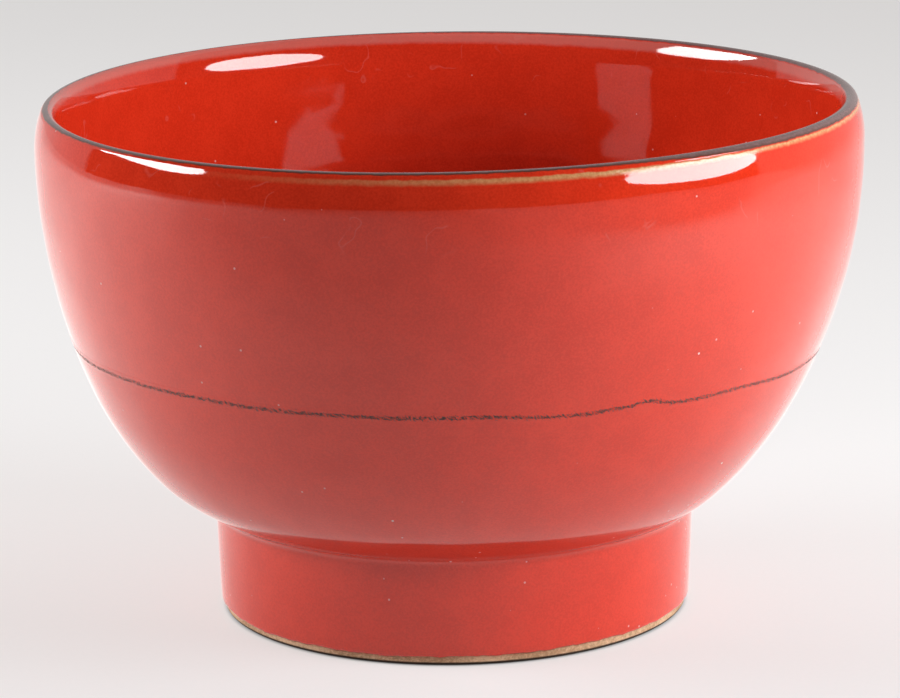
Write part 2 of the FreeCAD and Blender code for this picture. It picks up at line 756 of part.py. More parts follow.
os.makedirs("parts", exist_ok=True)
for piece in pieces:
    piece.Shape.exportStep(f"parts/{piece.Label}.step")
    bounds = piece.Shape.optimalBoundingBox(False)
    print(f"{piece.Label}: {piece.Shape.Volume:.1f} mm3, radius {bounds.XMax:.2f},"
          f" from {bounds.ZMin:.2f} to {bounds.ZMax:.2f}")
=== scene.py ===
# %% [markdown]
# # A footed bowl in red glaze
# The bowl is thrown on a wheel, so almost every piece of it is one section turned round one axis.
# This lesson draws each section with a pen made of bmesh operators, turns it into a solid, lets a
# potter's hand push it a little out of true, and then gives clay, glaze and oxide their finish.
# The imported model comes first: it says where each piece belongs, in metres, with Z up.

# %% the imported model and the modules
import math

import bmesh
import bpy
import numpy as np
from mathutils import Matrix, Vector


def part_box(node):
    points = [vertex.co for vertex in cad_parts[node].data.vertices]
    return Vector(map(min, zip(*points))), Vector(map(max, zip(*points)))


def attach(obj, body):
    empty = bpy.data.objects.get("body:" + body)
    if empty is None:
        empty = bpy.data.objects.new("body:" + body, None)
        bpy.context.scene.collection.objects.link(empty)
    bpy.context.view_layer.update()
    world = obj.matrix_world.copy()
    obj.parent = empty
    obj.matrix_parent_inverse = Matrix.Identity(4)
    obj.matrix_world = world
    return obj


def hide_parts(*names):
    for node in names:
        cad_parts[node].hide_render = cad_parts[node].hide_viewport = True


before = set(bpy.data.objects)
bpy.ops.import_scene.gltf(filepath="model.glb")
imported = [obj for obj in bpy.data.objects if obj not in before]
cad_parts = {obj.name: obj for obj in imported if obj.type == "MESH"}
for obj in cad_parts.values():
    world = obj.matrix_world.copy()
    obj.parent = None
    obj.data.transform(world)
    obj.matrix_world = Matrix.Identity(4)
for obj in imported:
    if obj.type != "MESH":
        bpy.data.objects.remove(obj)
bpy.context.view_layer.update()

print("nodes:", sorted(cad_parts))

# %% [markdown]
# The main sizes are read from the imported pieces, so that the looks follow the construction when it
# changes. The rest are sizes that a potter would set with calipers, ribs and a turning tool.

# %% the sizes of the bowl
MM = 0.001
bowl_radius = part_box("outer_glaze")[1].x
bowl_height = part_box("lip_glaze")[1].z
base_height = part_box("bowl_wall")[0].z
bare_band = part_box("outer_glaze")[0].z
line_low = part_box("drawn_line")[0].z
line_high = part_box("drawn_line")[1].z

glaze_coat = 0.6 * MM
lip_round = 1.25 * MM
lip_inset = 2.45 * MM
lip_rise = 7.5 * MM
lip_flare = 17 * MM
heel_turn = math.radians(48)
foot_radius = 43.3 * MM
foot_spread = 0.65 * MM
foot_width = 5.6 * MM
heel_inset = 5.95 * MM
recess_draw = 1.1 * MM
standing_round = 0.9 * MM
crease_round = 2.6 * MM
recess_round = 2.4 * MM
wall = 4.4 * MM
inner_rise = 3.5 * MM
heel_wall = 7 * MM
floor_thick = 5 * MM
floor_curve = 430 * MM
heel_share = 0.73
belly_share = 0.728
print(f"bowl {2 * bowl_radius / MM:.1f} mm across and {bowl_height / MM:.1f} mm high")

# %% [markdown]
# A pot's wall is a chain of arcs that run smoothly into each other: shoulder, belly, flank and heel.
# The belly and the flank are worked out from where the wall starts, how the heel turns, and the share
# of the height that belongs to the belly. The same rule draws the outside and the inside.

# %% the outline of the wall
class Wall:
    """Belly, flank and heel as arcs: each has a centre (across, up), a radius and a lower end."""

    def __init__(self, top, heel, heel_radius):
        sine, cosine = math.sin(heel_turn), math.cos(heel_turn)
        heel_end = Vector((heel[0] + heel_radius * sine, heel[1] - heel_radius * cosine))
        width, depth = top[0] - heel_end.x, top[1] - heel_end.y
        belly_depth = belly_share * depth
        flank_depth = depth - belly_depth
        slope = cosine / (1 + sine)
        middle = depth - slope * width
        reach = math.sqrt(middle ** 2 + 4 * slope * flank_depth * (width + slope * belly_depth))
        flank_width = (reach - middle) / (2 * slope)
        belly_width = width - flank_width
        self.belly_radius = (belly_width ** 2 + belly_depth ** 2) / (2 * belly_width)
        flank_radius = (flank_width ** 2 + flank_depth ** 2) / (
            2 * (flank_depth * cosine - flank_width * sine))
        self.belly = Vector((top[0] - self.belly_radius, top[1]))
        self.flank = heel_end + flank_radius * Vector((-sine, cosine))
        self.heel = Vector(heel)
        self.heel_radius = heel_radius
        self.belly_end = -math.asin(belly_depth / self.belly_radius)
        self.flank_end = heel_turn - math.pi / 2


clay_foot_inside = foot_radius - glaze_coat - foot_width
heel_across = clay_foot_inside - heel_inset
heel_radius = heel_share * (bowl_radius - heel_across)
outer_heel = (heel_across, base_height - glaze_coat + heel_radius)
floor_height = base_height - glaze_coat + floor_thick
inner_heel_radius = heel_radius - heel_wall
floor_middle = Vector((0, floor_height + floor_curve))
inner_heel_up = floor_middle.y - math.sqrt((floor_curve - inner_heel_radius) ** 2 - heel_across ** 2)
shoulder_height = bowl_height - lip_rise
outside = Wall((bowl_radius, shoulder_height), outer_heel, heel_radius)
inside = Wall((bowl_radius - wall, bowl_height + inner_rise), (heel_across, inner_heel_up),
              inner_heel_radius)
lip = Vector((bowl_radius - lip_inset, bowl_height - lip_round))
lip_drop = lip_rise - lip_round
shoulder_radius = (lip_inset ** 2 + lip_drop ** 2 - lip_round ** 2) / (2 * (lip_inset - lip_round))
shoulder = Vector((bowl_radius - shoulder_radius, shoulder_height))
lip_start = math.atan2(lip_drop, shoulder_radius - lip_inset)
print(f"belly radius {outside.belly_radius / MM:.1f} mm outside, {inside.belly_radius / MM:.1f} mm inside,"
      f" shoulder {shoulder_radius / MM:.1f} mm")

# %% [markdown]
# Two arcs touch where the line through their centres crosses them, so a small arc that has to touch
# two large ones has its centre where two circles meet. The flare inside the lip and the crease above
# the foot are found that way.

# %% where circles and walls meet
def crossing(first, first_radius, second, second_radius, side):
    """The point at the given distances from two centres, on the left (1) or right (-1) of the way."""
    way = second - first
    distance = way.length
    along = (distance ** 2 + first_radius ** 2 - second_radius ** 2) / (2 * distance)
    aside = math.sqrt(first_radius ** 2 - along ** 2)
    unit = way / distance
    return first + along * unit + side * aside * Vector((-unit.y, unit.x))


def bearing(centre, point):
    """The direction from a centre to a point, as an angle from straight outwards."""
    return math.atan2(point[1] - centre[1], point[0] - centre[0])


def foot_crossing(centre, radius, across, slope):
    """Where the lower side of a circle crosses a wall of the foot that leans out with height."""
    offset = across - centre[0]
    middle = (centre[1] - slope * offset) / (1 + slope ** 2)
    rest = (offset ** 2 + centre[1] ** 2 - radius ** 2) / (1 + slope ** 2)
    up = middle - math.sqrt(middle ** 2 - rest)
    return Vector((across + slope * up, up))


flare = crossing(lip, lip_flare - lip_round, inside.belly, inside.belly_radius + lip_flare, 1)
lip_end = bearing(flare, lip)
flare_end = bearing(flare, inside.belly)
foot_slope = foot_spread / base_height
crease = foot_crossing(outer_heel, heel_radius + crease_round, foot_radius + crease_round, foot_slope)
heel_end = bearing(outside.heel, crease)
print(f"flare centre {flare / MM}, lip from {math.degrees(lip_start):.1f} to {math.degrees(lip_end):.1f},"
      f" flare end {math.degrees(flare_end):.1f}")
print(f"crease {crease / MM}, heel end {math.degrees(heel_end):.1f}")

# %% [markdown]
# A pen draws the section: one vertex is spun about an arc's centre, or extruded along a straight run.
# Each new vertex remembers how far it lies from the top of the lip, measured over the glaze, because
# the glaze changes colour with that distance. A coat of glaze is its skin, a step into the clay, and
# the same strokes drawn backwards.

# %% the pen
FINE = 0.12 * MM
COARSE = 1.2 * MM
HIDDEN = 2.5
DISTANCE = "lip_distance"


class Pen:
    """Draws a section in the plane of X (across) and Z (up)."""

    def __init__(self, spot, distance=0, sign=1):
        self.mesh = bmesh.new()
        self.layer = self.mesh.verts.layers.float.new(DISTANCE)
        self.tip = self.mesh.verts.new((spot[0], 0, spot[1]))
        self.tip[self.layer] = distance
        self.sign = sign

    def measure(self, drawn, length):
        """Writes the distance from the lip into the newest vertices, and moves the tip to the last."""
        start = self.tip[self.layer]
        self.mesh.verts.ensure_lookup_table()
        fresh = self.mesh.verts[drawn:]
        for place, vertex in enumerate(fresh, 1):
            vertex[self.layer] = start + self.sign * length * place / len(fresh)
        self.tip = fresh[-1]

    def turn(self, centre, angle, step=COARSE):
        """An arc about a centre, anticlockwise where the angle is positive."""
        middle = Vector((centre[0], 0, centre[1]))
        length = abs(angle) * (self.tip.co - middle).length
        drawn = len(self.mesh.verts)
        bmesh.ops.spin(self.mesh, geom=[self.tip], cent=middle, axis=(0, -1, 0), angle=angle,
                       steps=max(3, math.ceil(length / step)))
        self.measure(drawn, length)

    def run(self, across, up, step=COARSE):
        """A straight run."""
        way = Vector((across, 0, up))
        steps = max(1, math.ceil(way.length / step))
        drawn = len(self.mesh.verts)
        newest = self.tip
        for _ in range(steps):
            newest = bmesh.ops.extrude_vert_indiv(self.mesh, verts=[newest])["verts"][0]
            newest.co += way / steps
        self.measure(drawn, way.length)

    def go(self, spot, step=COARSE):
        """A straight run to a place."""
        self.run(spot[0] - self.tip.co.x, spot[1] - self.tip.co.z, step)

    def lift(self, spot):
        """Sets the pen down at another place, without a stroke."""
        distance = self.tip[self.layer]
        self.tip = self.mesh.verts.new((spot[0], 0, spot[1]))
        self.tip[self.layer] = distance

    def close(self):
        """Joins the last place to the first."""
        self.mesh.verts.ensure_lookup_table()
        self.mesh.edges.new((self.tip, self.mesh.verts[0]))


def draw(pen, strokes, backwards=False, hidden=False):
    """Strokes are (centre, angle, step) for an arc. Hidden skins take longer steps."""
    for centre, angle, step in reversed(strokes) if backwards else strokes:
        pen.turn(centre, -angle if backwards else angle, step * HIDDEN if hidden else step)


def aside(angle, distance):
    """A step from a surface whose normal has this angle."""
    return distance * math.cos(angle), distance * math.sin(angle)


print(f"strokes in steps of {FINE / MM:.2f} mm at the lip and {COARSE / MM:.2f} mm on the wall")

# %% [markdown]
# The strokes of the skin are listed once, from the lip down, outside and inside. Glaze and clay both
# use them: the clay is what the coats leave between them.

# %% the strokes of the skin
lip_end_outside = lip + lip_round * Vector((math.cos(lip_start), math.sin(lip_start)))
lip_end_inside = lip + lip_round * Vector((math.cos(lip_end), math.sin(lip_end)))
lip_length = lip_round * (math.pi / 2 - lip_start)
floor_end = bearing(floor_middle, inside.heel)
crease_turn = -heel_end - math.atan(foot_slope)

wall_strokes = [
    (shoulder, -lip_start, FINE),
    (outside.belly, outside.belly_end, COARSE),
    (outside.flank, outside.flank_end - outside.belly_end, COARSE),
]
inside_strokes = [
    (flare, flare_end - lip_end, FINE),
    (inside.belly, inside.belly_end + math.pi - flare_end, COARSE),
    (inside.flank, inside.flank_end - inside.belly_end, COARSE),
    (inside.heel, floor_end - inside.flank_end, COARSE),
    (floor_middle, -math.pi / 2 - floor_end, COARSE),
]
print(f"lip {2 * lip_length / MM:.2f} mm over its top,"
      f" floor meets the heel at {math.degrees(floor_end):.1f} degrees")

# %% [markdown]
# No pot is quite round. This one leans a millimetre to the left at its heel, its rim rises and falls
# by half a millimetre, and the fingers left soft rings in the wall. All pieces pass through the same
# hand, so they stay seated on each other. The foot was turned on the wheel later and stays true.

# %% the potter's hand
lean = 1.0 * MM
lean_low, lean_middle, lean_high = base_height + 0.5 * MM, 27 * MM, 75 * MM
rim_lift, rim_twist = 0.32 * MM, 0.20 * MM
ring_depth, ring_pitch = 0.012 * MM, 9 * MM
swell_depth = 0.35 * MM
swell_levels = (25 * MM, 60 * MM, 64 * MM, 80 * MM)


def smooth(value, low, high):
    """Rises from 0 to 1 between two values, without corners."""
    share = np.clip((value - low) / (high - low), 0, 1)
    return share * share * (3 - 2 * share)


def azimuth(places):
    """The angle round the bowl, from the front (-Y) towards +X."""
    return np.arctan2(places[:, 0], -places[:, 1])


def swell(places):
    """How far the fingers pressed the inside of the wall outwards. The outside stays true."""
    low, rising, falling, high = swell_levels
    height, radius = places[:, 2], np.hypot(places[:, 0], places[:, 1])
    level = height - shoulder_height
    skin = outside.belly.x + np.sqrt(np.maximum(outside.belly_radius ** 2 - level ** 2, 0))
    inner = smooth(skin - radius, wall / 2, wall - glaze_coat)
    return swell_depth * smooth(height, low, rising) * (1 - smooth(height, falling, high)) * inner


def hand(places):
    """Where the potter's hand leaves the points of a true pot."""
    moved = places.copy()
    height, turned = places[:, 2], azimuth(places)
    moved[:, 0] -= (lean * smooth(height, lean_low, lean_middle)
                    * (1 - smooth(height, lean_middle, lean_high)))
    lift = rim_lift * np.sin(turned) + rim_twist * np.sin(2 * turned)
    moved[:, 2] += lift * smooth(height, base_height, bowl_height)
    spiral = np.sin(math.tau * height / ring_pitch + turned)
    push = ring_depth * spiral * smooth(height, base_height, 2 * base_height) + swell(places)
    moved[:, 0] += push * np.sin(turned)
    moved[:, 1] -= push * np.cos(turned)
    return moved


print(f"leans {lean / MM:.1f} mm, wall pressed out {swell_depth / MM:.2f} mm")

# %% [markdown]
# The last step is the wheel: a full spin that merges its last ring with the first, doubles merged at
# the axis, and normals turned outwards. A Screw modifier would turn it too, but the hand shapes the
# finished rings, so they are made at once. A sharp edge is kept only where two faces meet steeply.

# %% the wheel
WHEEL_STEPS = 288
DOUBLE = 0.001 * MM
SHARP = math.radians(35)


def throw(name, pen, shape=hand):
    """Turns a section round Z, shapes it by hand and makes it an object that rides on the bowl."""
    mesh = pen.mesh
    bmesh.ops.spin(mesh, geom=mesh.verts[:] + mesh.edges[:], cent=(0, 0, 0), axis=(0, 0, 1),
                   angle=math.tau, steps=WHEEL_STEPS, use_merge=True)
    bmesh.ops.remove_doubles(mesh, verts=mesh.verts[:], dist=DOUBLE)
    bmesh.ops.recalc_face_normals(mesh, faces=mesh.faces[:])
    data = bpy.data.meshes.new(name)
    mesh.to_mesh(data)
    open_edges = sum(not edge.is_manifold for edge in mesh.edges)
    volume = mesh.calc_volume()
    mesh.free()
    places = np.empty(3 * len(data.vertices), dtype=np.float32)
    data.vertices.foreach_get("co", places)
    places = shape(places.reshape(-1, 3).astype(float))
    data.vertices.foreach_set("co", places.astype(np.float32).ravel())
    data.shade_smooth()
    data.set_sharp_from_angle(angle=SHARP)
    piece = bpy.data.objects.new(name, data)
    bpy.context.scene.collection.objects.link(piece)
    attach(piece, "root")
    print(f"{name}: {len(data.polygons)} faces, {open_edges} open edges, {volume / MM ** 3:.0f} cubic mm")
    return piece


print(f"{WHEEL_STEPS} steps a turn")

# %% [markdown]
# The clay bowl is hidden under its coats, but it is there: flat below, round in the heel, and 4 to 8 mm
# thick. It starts on the axis under the base and ends on the axis above the floor.

# %% the thrown wall
thrown_pen = Pen((0, base_height))
thrown_pen.go((heel_across, base_height))
thrown_pen.turn(outside.heel, outside.flank_end + math.pi / 2)
draw(thrown_pen, wall_strokes, backwards=True, hidden=True)
thrown_pen.turn(lip, lip_end - lip_start, HIDDEN * FINE)
draw(thrown_pen, inside_strokes, hidden=True)
thrown_wall = throw("thrown_wall", thrown_pen)
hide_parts("bowl_wall")

# %% [markdown]
# The foot ring was thrown apart and luted on with slip. Its foot face is flat with rounded edges, so
# that it does not scratch a table, and its top follows the round of the heel.

# %% the clay foot
slip_layer = 0.7 * MM
joint_radius = heel_radius - glaze_coat + slip_layer
clay_foot_outside = foot_radius - glaze_coat
recess_slope = -recess_draw / base_height


def on_foot(across, slope, up):
    """A place on a wall of the foot."""
    return Vector((across + slope * up, up))


outer_top = foot_crossing(outer_heel, joint_radius, clay_foot_outside, foot_slope)
inner_top = foot_crossing(outer_heel, joint_radius, clay_foot_inside, recess_slope)
outer_low = on_foot(clay_foot_outside, foot_slope, standing_round)
inner_low = on_foot(clay_foot_inside, recess_slope, standing_round)
foot_pen = Pen(outer_top)
foot_pen.go(outer_low)
foot_pen.turn(outer_low - Vector((standing_round, 0)), -math.pi / 2, FINE)
foot_pen.go((inner_low.x + standing_round, 0))
foot_pen.turn(inner_low + Vector((standing_round, 0)), -math.pi / 2, FINE)
foot_pen.go(inner_top)
foot_pen.turn(outer_heel, bearing(outer_heel, outer_top) - bearing(outer_heel, inner_top))
clay_foot = throw("clay_foot", foot_pen)
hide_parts("foot_ring")

# %% [markdown]
# The glaze was poured and dipped in one go, but it is modelled in four coats that meet at the lip and
# at the bare foot: outside, lip, inside and the recess under the bowl. Each coat is a closed skin
# 0.6 mm thick, whose bottom edge is rolled round by its own surface tension.

# %% the outside coat
EDGE_WAVES = [(1, 0.12 * MM, 0.2), (3, 0.08 * MM, 0.4), (11, 0.06 * MM, 1.9), (29, 0.05 * MM, 0.3),
              (53, 0.05 * MM, 2.2), (83, 0.04 * MM, 4.0), (127, 0.03 * MM, 1.0)]
edge_lift = 0.38 * MM
edge_reach = 4.5 * MM
roll_height = bare_band + glaze_coat
clay_corner = foot_crossing(outer_heel, heel_radius - glaze_coat, clay_foot_outside, foot_slope)
outer_pen = Pen(lip_end_outside, lip_length)
draw(outer_pen, wall_strokes)
outer_pen.turn(outside.heel, heel_end - outside.flank_end)
outer_pen.turn(crease, crease_turn, 2 * FINE)
outer_pen.go(on_foot(foot_radius, foot_slope, roll_height))
outer_pen.turn(on_foot(clay_foot_outside, foot_slope, roll_height), -math.pi / 2, FINE)
outer_pen.go(clay_corner)
outer_pen.turn(outside.heel, outside.flank_end - bearing(outer_heel, clay_corner))
draw(outer_pen, wall_strokes, backwards=True, hidden=True)
outer_pen.close()


def hand_and_drip(places):
    """The coat's lower edge stops where it ran dry: it waves, and the waves die out above."""
    turned = azimuth(places)
    wave = sum(depth * np.sin(count * turned + start) for count, depth, start in EDGE_WAVES)
    moved = hand(places)
    moved[:, 2] += (edge_lift + wave) * (1 - smooth(places[:, 2], bare_band, edge_reach))
    return moved


glaze_outside = throw("glaze_outside", outer_pen, hand_and_drip)
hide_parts("outer_glaze")

# %% [markdown]
# The lip is the thinnest part, rounded with a strip of wet leather between two fingers. Its coat is a
# piece of its own, because the glaze breaks to another colour there. It is drawn from the outside
# over the top to the inside, and its distance from the lip's top counts down past zero.

# %% the lip coat
lip_pen = Pen(lip_end_outside, lip_length, -1)
lip_pen.turn(lip, lip_end - lip_start, FINE)
lip_pen.run(*aside(lip_end, -glaze_coat))
lip_pen.turn(lip, lip_start - lip_end, HIDDEN * FINE)
lip_pen.close()
glaze_lip = throw("glaze_lip", lip_pen)
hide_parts("lip_glaze")

# %% [markdown]
# The inside coat lines the bowl: a flare under the lip, the belly, the flank, the heel and a floor
# that is slightly hollow. The same strokes drawn backwards, 0.6 mm deeper, close its skin.

# %% the inside coat
inner_length = lip_round * (lip_end - math.pi / 2)
inner_pen = Pen(lip_end_inside, -inner_length, -1)
draw(inner_pen, inside_strokes)
inner_pen.lift((0, floor_height - glaze_coat))
draw(inner_pen, inside_strokes, backwards=True, hidden=True)
inner_pen.close()
glaze_inside = throw("glaze_inside", inner_pen)
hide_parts("inner_glaze")

# %% [markdown]
# Under a bowl, glaze is swirled in the recess and wiped off the foot. Nobody sees it while the bowl
# stands, but a hand finds it: a flat ceiling, a rounded corner, and a rolled edge at the bare foot.

# %% the coat in the recess under the bowl
glaze_foot_inside = clay_foot_inside - glaze_coat
ceiling = base_height - glaze_coat
corner = foot_crossing(outer_heel, heel_radius + recess_round, glaze_foot_inside - recess_round,
                       recess_slope)
corner_start = bearing(outer_heel, corner)
hidden_corner = foot_crossing(outer_heel, heel_radius - glaze_coat, clay_foot_inside, recess_slope)
recess_pen = Pen((0, ceiling), bowl_height)
recess_pen.go((heel_across, ceiling))
recess_pen.turn(outside.heel, corner_start + math.pi / 2)
recess_pen.turn(corner, math.atan(-recess_slope) - corner_start - math.pi, 2 * FINE)
recess_pen.go(on_foot(glaze_foot_inside, recess_slope, roll_height))
recess_pen.turn(on_foot(clay_foot_inside, recess_slope, roll_height), math.pi / 2, FINE)
recess_pen.go(hidden_corner)
recess_pen.turn(outside.heel, -math.pi / 2 - bearing(outer_heel, hidden_corner))
recess_pen.go((0, base_height))
glaze_recess = throw("glaze_recess", recess_pen)
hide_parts("recess_glaze")

# %% [markdown]
# The dark line was drawn on the turning bowl with an oxide pencil. It is a thin band laid into the
# coat, wide enough for its ragged edges, and it wanders: it rises to the left, sinks to the right and
# jumps up where the hand was set down again.

# %% the drawn line
line_middle = (line_low + line_high) / 2
line_reach = 0.75 * (line_high - line_low)
line_crown = 0.05 * MM
line_sunk = 0.3 * MM
CROWN_STEPS = 4
JUMP_AT = 27


def wander(turned):
    """How far the line lies above its level, added up in mm, at degrees from the jump."""
    drift = 0.14 - 0.78 * np.sin(turned) + 0.30 * np.cos(turned)
    ripple = 0.10 * np.sin(7 * turned + 0.6) + 0.06 * np.sin(17 * turned)
    from_jump = np.degrees(turned) - JUMP_AT
    jump = 0.70 * smooth(from_jump, -1, 1) * (1 - smooth(from_jump, 2, 7))
    sag = 0.45 * smooth(from_jump, -25, -12) * (1 - smooth(from_jump, -8, -2))
    sink = 0.35 * smooth(from_jump, 3, 8) + 0.85 * smooth(from_jump, 18, 38)
    return (drift + ripple + jump - sag - sink) * MM


line_tilt = math.asin((line_middle - shoulder_height) / outside.belly_radius)


def hand_with_pencil(places):
    """The band slides along the belly as it wanders, and then goes through the same hand."""
    turned = azimuth(places)
    rise = wander(turned)
    drawn = places.copy()
    drawn[:, 2] += rise
    drawn[:, 0] -= rise * math.tan(line_tilt) * np.sin(turned)
    drawn[:, 1] += rise * math.tan(line_tilt) * np.cos(turned)
    return hand(drawn)


def on_belly(up, proud):
    """A place on the belly at a height, that far out of the glaze."""
    angle = math.asin((up - shoulder_height) / outside.belly_radius)
    return outside.belly + (outside.belly_radius + proud) * Vector((math.cos(angle), math.sin(angle)))


line_pen = Pen(on_belly(line_middle - line_reach, 0), -line_reach)
for step in range(1 - CROWN_STEPS, 1 + CROWN_STEPS):
    crown = line_crown * (1 - (step / CROWN_STEPS) ** 2)
    line_pen.go(on_belly(line_middle + step * line_reach / CROWN_STEPS, crown))
line_pen.go(on_belly(line_middle + line_reach, -line_sunk))
line_pen.go(on_belly(line_middle - line_reach, -line_sunk))
line_pen.close()
oxide_line = throw("oxide_line", line_pen, hand_with_pencil)
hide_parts("drawn_line")

# %% [markdown]
# Materials are node trees, which could be wired by hand in the shader editor. In a script, small
# helpers add a node, join its sockets and set its plain values, so that a finish reads as a short list
# of what the real surface does. All patterns read Object coordinates in metres: a scale of 1000 is one
# wave a millimetre on every piece, and a pattern runs on from one coat to the next.

# %% helpers for node trees
def add(tree, kind, inputs=None, **settings):
    """Adds a node. Inputs that are sockets are linked, the others are set."""
    node = tree.nodes.new(kind)
    for name, value in settings.items():
        setattr(node, name, value)
    for name, value in (inputs or {}).items():
        join(tree, value, node.inputs[name])
    return node


def join(tree, value, socket):
    """Links a socket to another, or gives it a plain value."""
    if isinstance(value, bpy.types.NodeSocket):
        tree.links.new(value, socket)
    else:
        socket.default_value = value


def blend(tree, share, first, second):
    """Mixes two colours."""
    node = add(tree, "ShaderNodeMix", data_type="RGBA")
    for name, value in (("Factor", share), ("A", first), ("B", second)):
        join(tree, value, next(item for item in node.inputs if item.name == name and item.enabled))
    return next(item for item in node.outputs if item.enabled)


def calculate(tree, operation, *values):
    """A sum, product or other operation on values."""
    node = add(tree, "ShaderNodeMath", operation=operation)
    for socket, value in zip(node.inputs, values):
        join(tree, value, socket)
    return node.outputs[0]


def total(tree, first, second):
    return calculate(tree, "ADD", first, second)


def product(tree, first, second):
    return calculate(tree, "MULTIPLY", first, second)


def between(tree, value, low, high, start=0, end=1):
    """Maps a value from one range to another, clamped and smooth."""
    node = add(tree, "ShaderNodeMapRange", {
        "Value": value, "From Min": low, "From Max": high, "To Min": start, "To Max": end},
        interpolation_type="SMOOTHSTEP")
    return node.outputs["Result"]


def noise(tree, place, scale, detail=2.0, roughness=0.5):
    """A cloudy pattern, with waves of one metre over the scale."""
    return add(tree, "ShaderNodeTexNoise", {"Vector": place, "Scale": scale, "Detail": detail,
                                            "Roughness": roughness}).outputs["Fac"]


def object_place(tree):
    """Object coordinates, and their X, Y and Z apart."""
    place = add(tree, "ShaderNodeTexCoord").outputs["Object"]
    apart = add(tree, "ShaderNodeSeparateXYZ", {"Vector": place})
    return place, apart.outputs["X"], apart.outputs["Y"], apart.outputs["Z"]


def effect(name, inputs, outputs):
    """A node group with named sockets, and its input and output nodes."""
    tree = bpy.data.node_groups.new(name, "ShaderNodeTree")
    for label, kind, value in inputs:
        socket = tree.interface.new_socket(label, in_out="INPUT", socket_type=kind)
        socket.default_value = value
    for label, kind in outputs:
        tree.interface.new_socket(label, in_out="OUTPUT", socket_type=kind)
    return tree, tree.nodes.new("NodeGroupInput"), tree.nodes.new("NodeGroupOutput")


COLOUR, NUMBER = "NodeSocketColor", "NodeSocketFloat"

# %% [markdown]
# The surface carries small things: grains of dust and burst bubbles, and under the rim the faint
# curved marks that stacked dishes rub in. They could be modelled or painted, but cells do it without
# either: a dot round the point of a few lucky cells is a grain, and a thin ring at one distance from
# the point, bent by noise and shown only in parts, is a scuff.

# %% grains and scuffs
def grains(tree, place, scale, channel, rarity, core, rim, strength):
    """Dots in the cells whose random colour passes the rarity."""
    cells = add(tree, "ShaderNodeTexVoronoi", {"Vector": place, "Scale": scale})
    draw_lots = add(tree, "ShaderNodeSeparateColor", {"Color": cells.outputs["Color"]})
    chosen = calculate(tree, "GREATER_THAN", draw_lots.outputs[channel], rarity)
    return product(tree, between(tree, cells.outputs["Distance"], core, rim, strength, 0), chosen)


def scuffs(tree, place, up):
    """Parts of bent rings, near the rim only."""
    bend = (8 * MM, 8 * MM, 8 * MM)
    parts = add(tree, "ShaderNodeTexNoise", {"Vector": place, "Scale": 210.0, "Detail": 1.0})
    bent = add(tree, "ShaderNodeVectorMath", {0: parts.outputs["Color"], 1: bend, 2: place},
               operation="MULTIPLY_ADD")
    rings = add(tree, "ShaderNodeTexVoronoi", {"Vector": bent.outputs[0], "Scale": 95.0})
    ring_radius, ring_width, ring_strength = 0.32, 0.025, 0.06
    off_ring = calculate(tree, "ABSOLUTE", calculate(
        tree, "SUBTRACT", rings.outputs["Distance"], ring_radius))
    thin = between(tree, off_ring, 0.0, ring_width, ring_strength, 0)
    thin = product(tree, thin, between(tree, parts.outputs["Fac"], 0.52, 0.62))
    return product(tree, thin, between(tree, up, 80 * MM, 84 * MM))


# %% [markdown]
# The red glaze is glassy. Its colour drifts over a few millimetres and a finer grain sits in it, and
# its surface swells very gently, which is what makes a reflection's edge waver. Near the rim it has
# patches of orange peel. One node group makes colour, roughness and height, because the coats and the
# drawn line all need the same glaze.

# %% the red glaze
def make_red_group():
    tree, given, result = effect("red glaze", [
        ("Deep", COLOUR, (0.57, 0.026, 0.008, 1)), ("Light", COLOUR, (0.67, 0.036, 0.012, 1)),
        ("Speck", COLOUR, (0.75, 0.62, 0.58, 1))],
        [("Color", COLOUR), ("Roughness", NUMBER), ("Height", NUMBER)])
    place, _, _, up = object_place(tree)
    cloud = noise(tree, place, 140.0, 4.0, 0.6)
    grain = noise(tree, place, 2600.0)
    swelling = noise(tree, place, 60.0, 1.0)
    peel = noise(tree, place, 1300.0)

    mottle = total(tree, product(tree, cloud, 0.4), product(tree, grain, 0.6))
    colour = blend(tree, between(tree, mottle, 0.35, 0.65), given.outputs["Deep"], given.outputs["Light"])
    bubbles = grains(tree, place, 190.0, "Red", 0.90, 0.030, 0.050, 1)
    dust_rarity = between(tree, up, 18 * MM, 35 * MM, 0.72, 0.93)
    dust = grains(tree, place, 430.0, "Green", dust_rarity, 0.06, 0.11, 0.5)
    marks = calculate(tree, "MAXIMUM", calculate(tree, "MAXIMUM", bubbles, dust), scuffs(tree, place, up))
    colour = blend(tree, marks, colour, given.outputs["Speck"])

    patch = product(tree, between(tree, swelling, 0.50, 0.60), between(tree, up, 81 * MM, 86 * MM, 0, 0.02))
    height = total(tree, product(tree, swelling, 0.7), product(tree, grain, 0.004))
    height = total(tree, height, product(tree, cloud, 0.05))
    height = total(tree, height, product(tree, peel, patch))
    tree.links.new(colour, result.inputs["Color"])
    tree.links.new(total(tree, product(tree, marks, 0.3), 0.04), result.inputs["Roughness"])
    tree.links.new(height, result.inputs["Height"])
    return tree


red_group = make_red_group()
print("red glaze:", len(red_group.nodes), "nodes")
